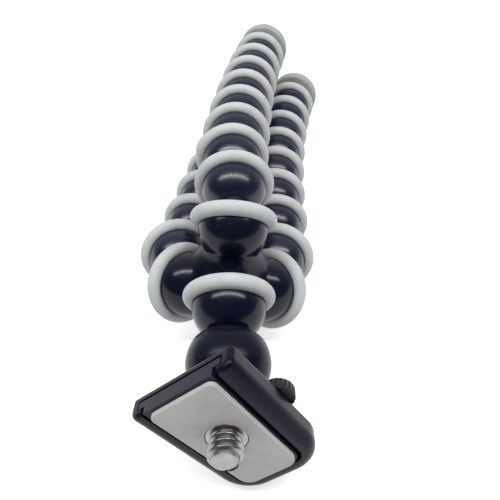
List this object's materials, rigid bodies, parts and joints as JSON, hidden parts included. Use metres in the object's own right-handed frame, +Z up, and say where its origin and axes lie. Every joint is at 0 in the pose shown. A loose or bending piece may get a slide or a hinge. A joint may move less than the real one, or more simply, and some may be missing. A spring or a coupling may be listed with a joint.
{
  "type": "phone tripod",
  "caption": "Small phone tripod with flexible legs of ball-jointed links with rubber rings, a jointed neck, and a quick-release plate with a camera screw.",
  "frame": {"origin": "on the table under the middle of the tripod's box, with the legs drawn together", "axes": "+Z up, +Y along the folded tripod from the camera screw to the feet, +X to the viewer's right"},
  "size_m": [0.0584, 0.1822, 0.041],
  "materials": {
    "shell_plastic": "gloss",
    "plate_plastic": "satin",
    "ring_rubber": "satin",
    "foot_rubber": "matte",
    "pad_rubber": "matte",
    "screw_steel": "satin"
  },
  "bodies": {
    "hub": {"hub": "shell_plastic", "hub_rings": "ring_rubber"},
    "neck": {"neck": "shell_plastic", "neck_ring": "ring_rubber"},
    "head": {"holder": "shell_plastic"},
    "lever": {"lock_lever": "plate_plastic"},
    "plate": {"release_plate": "plate_plastic", "pad": "pad_rubber"},
    "screw": {"camera_screw": "screw_steel"},
    "top_1": {"top_link_1": "shell_plastic", "top_ring_1": "ring_rubber"},
    "top_2": {"top_link_2": "shell_plastic", "top_ring_2": "ring_rubber"},
    "top_3": {"top_link_3": "shell_plastic", "top_ring_3": "ring_rubber"},
    "top_4": {"top_link_4": "shell_plastic", "top_ring_4": "ring_rubber"},
    "top_5": {"top_link_5": "shell_plastic", "top_ring_5": "ring_rubber"},
    "top_6": {"top_link_6": "shell_plastic", "top_ring_6": "ring_rubber"},
    "top_7": {"top_link_7": "shell_plastic", "top_ring_7": "ring_rubber"},
    "top_8": {"top_link_8": "shell_plastic", "top_ring_8": "ring_rubber"},
    "top_9": {"top_foot": "foot_rubber"},
    "left_1": {"left_link_1": "shell_plastic", "left_ring_1": "ring_rubber"},
    "left_2": {"left_link_2": "shell_plastic", "left_ring_2": "ring_rubber"},
    "left_3": {"left_link_3": "shell_plastic", "left_ring_3": "ring_rubber"},
    "left_4": {"left_link_4": "shell_plastic", "left_ring_4": "ring_rubber"},
    "left_5": {"left_link_5": "shell_plastic", "left_ring_5": "ring_rubber"},
    "left_6": {"left_link_6": "shell_plastic", "left_ring_6": "ring_rubber"},
    "left_7": {"left_link_7": "shell_plastic", "left_ring_7": "ring_rubber"},
    "left_8": {"left_link_8": "shell_plastic", "left_ring_8": "ring_rubber"},
    "left_9": {"left_foot": "foot_rubber"},
    "right_1": {"right_link_1": "shell_plastic", "right_ring_1": "ring_rubber"},
    "right_2": {"right_link_2": "shell_plastic", "right_ring_2": "ring_rubber"},
    "right_3": {"right_link_3": "shell_plastic", "right_ring_3": "ring_rubber"},
    "right_4": {"right_link_4": "shell_plastic", "right_ring_4": "ring_rubber"},
    "right_5": {"right_link_5": "shell_plastic", "right_ring_5": "ring_rubber"},
    "right_6": {"right_link_6": "shell_plastic", "right_ring_6": "ring_rubber"},
    "right_7": {"right_link_7": "shell_plastic", "right_ring_7": "ring_rubber"},
    "right_8": {"right_link_8": "shell_plastic", "right_ring_8": "ring_rubber"},
    "right_9": {"right_foot": "foot_rubber"}
  },
  "joints": [
    {"name": "neck_nod", "type": "hinge", "parent": "hub", "child": "neck", "pos_m": [-0.00451, -0.05792, 0.02115], "axis": [-1, 0, 0], "range_deg": [0, 54]},
    {"name": "head_swivel", "type": "hinge", "parent": "neck", "child": "head", "pos_m": [-0.00438, -0.06944, 0.01657], "axis": [-0.0208, -0.9945, 0.1028], "continuous": true},
    {"name": "lever_turn", "type": "hinge", "parent": "head", "child": "lever", "pos_m": [0.0023, -0.08121, 0.00918], "axis": [-0.0208, -0.9945, 0.1028], "range_deg": [-35, 0]},
    {"name": "plate_slide", "type": "slide", "parent": "head", "child": "plate", "axis": [-0.6275, 0.093, 0.773], "range_m": [0, 0.028]},
    {"name": "screw_turn", "type": "hinge", "parent": "plate", "child": "screw", "pos_m": [-0.0041, -0.08624, 0.01753], "axis": [-0.0208, -0.9945, 0.1028], "continuous": true},
    {"name": "top_joint_1", "type": "hinge", "parent": "hub", "child": "top_1", "pos_m": [-0.00388, -0.04124, 0.02948], "axis": [0.7071, 0, 0.7071], "range_deg": [0, 45]},
    {"name": "top_joint_2", "type": "hinge", "parent": "top_1", "child": "top_2", "pos_m": [-0.00398, -0.02691, 0.03087], "axis": [0.9659, 0, 0.2588], "range_deg": [0, 37]},
    {"name": "top_joint_3", "type": "hinge", "parent": "top_2", "child": "top_3", "pos_m": [-0.00476, -0.01253, 0.03081], "axis": [0.866, 0, 0.5], "range_deg": [0, 36]},
    {"name": "top_joint_4", "type": "hinge", "parent": "top_3", "child": "top_4", "pos_m": [-0.00417, 0.00186, 0.03047], "axis": [0.866, 0, -0.5], "range_deg": [0, 32]},
    {"name": "top_joint_5", "type": "hinge", "parent": "top_4", "child": "top_5", "pos_m": [-0.00328, 0.01623, 0.03018], "axis": [0.7071, 0, -0.7071], "range_deg": [0, 32]},
    {"name": "top_joint_6", "type": "hinge", "parent": "top_5", "child": "top_6", "pos_m": [-0.00208, 0.03057, 0.02993], "axis": [0.9659, 0, 0.2588], "range_deg": [0, 33]},
    {"name": "top_joint_7", "type": "hinge", "parent": "top_6", "child": "top_7", "pos_m": [-0.00058, 0.04489, 0.02972], "axis": [0.7071, 0, -0.7071], "range_deg": [0, 32]},
    {"name": "top_joint_8", "type": "hinge", "parent": "top_7", "child": "top_8", "pos_m": [0.00124, 0.05918, 0.02955], "axis": [1, 0, 0], "range_deg": [0, 33]},
    {"name": "top_joint_9", "type": "hinge", "parent": "top_8", "child": "top_9", "pos_m": [0.00335, 0.07342, 0.02942], "axis": [0.7071, 0, -0.7071], "range_deg": [0, 32]},
    {"name": "left_joint_1", "type": "hinge", "parent": "hub", "child": "left_1", "pos_m": [-0.01487, -0.04381, 0.01468], "axis": [0.5, 0, 0.866], "range_deg": [0, 49]},
    {"name": "left_joint_2", "type": "hinge", "parent": "left_1", "child": "left_2", "pos_m": [-0.01894, -0.03028, 0.01191], "axis": [0.5, 0, 0.866], "range_deg": [0, 46]},
    {"name": "left_joint_3", "type": "hinge", "parent": "left_2", "child": "left_3", "pos_m": [-0.01605, -0.0162, 0.01109], "axis": [0.5, 0, 0.866], "range_deg": [0, 29]},
    {"name": "left_joint_4", "type": "hinge", "parent": "left_3", "child": "left_4", "pos_m": [-0.0139, -0.00196, 0.01076], "axis": [0, 0, 1], "range_deg": [0, 32]},
    {"name": "left_joint_5", "type": "hinge", "parent": "left_4", "child": "left_5", "pos_m": [-0.01192, 0.0123, 0.0105], "axis": [0, 0, 1], "range_deg": [0, 32]},
    {"name": "left_joint_6", "type": "hinge", "parent": "left_5", "child": "left_6", "pos_m": [-0.0101, 0.02658, 0.01031], "axis": [0.2588, 0, 0.9659], "range_deg": [0, 32]},
    {"name": "left_joint_7", "type": "hinge", "parent": "left_6", "child": "left_7", "pos_m": [-0.00844, 0.04088, 0.01018], "axis": [0.2588, 0, 0.9659], "range_deg": [0, 32]},
    {"name": "left_joint_8", "type": "hinge", "parent": "left_7", "child": "left_8", "pos_m": [-0.00695, 0.05521, 0.01012], "axis": [0.2588, 0, 0.9659], "range_deg": [0, 32]},
    {"name": "left_joint_9", "type": "hinge", "parent": "left_8", "child": "left_9", "pos_m": [-0.00562, 0.06955, 0.01013], "axis": [0, 0, 1], "range_deg": [0, 32]},
    {"name": "right_joint_1", "type": "hinge", "parent": "hub", "child": "right_1", "pos_m": [0.00363, -0.04347, 0.01259], "axis": [0.2588, 0, -0.9659], "range_deg": [0, 40]},
    {"name": "right_joint_2", "type": "hinge", "parent": "right_1", "child": "right_2", "pos_m": [0.00692, -0.02965, 0.01027], "axis": [0.2588, 0, -0.9659], "range_deg": [0, 40]},
    {"name": "right_joint_3", "type": "hinge", "parent": "right_2", "child": "right_3", "pos_m": [0.00697, -0.01525, 0.01046], "axis": [0.866, 0, -0.5], "range_deg": [0, 32]},
    {"name": "right_joint_4", "type": "hinge", "parent": "right_3", "child": "right_4", "pos_m": [0.0074, -0.00085, 0.01054], "axis": [0.866, 0, -0.5], "range_deg": [0, 32]},
    {"name": "right_joint_5", "type": "hinge", "parent": "right_4", "child": "right_5", "pos_m": [0.0083, 0.01352, 0.01058], "axis": [0, 0, -1], "range_deg": [0, 31]},
    {"name": "right_joint_6", "type": "hinge", "parent": "right_5", "child": "right_6", "pos_m": [0.00965, 0.02785, 0.01058], "axis": [0, 0, -1], "range_deg": [0, 31]},
    {"name": "right_joint_7", "type": "hinge", "parent": "right_6", "child": "right_7", "pos_m": [0.01145, 0.04214, 0.01054], "axis": [0.5, 0, -0.866], "range_deg": [0, 31]},
    {"name": "right_joint_8", "type": "hinge", "parent": "right_7", "child": "right_8", "pos_m": [0.01372, 0.05636, 0.01047], "axis": [0, 0, -1], "range_deg": [0, 31]},
    {"name": "right_joint_9", "type": "hinge", "parent": "right_8", "child": "right_9", "pos_m": [0.01643, 0.0705, 0.01035], "axis": [0, 0, -1], "range_deg": [0, 31]}
  ]
}
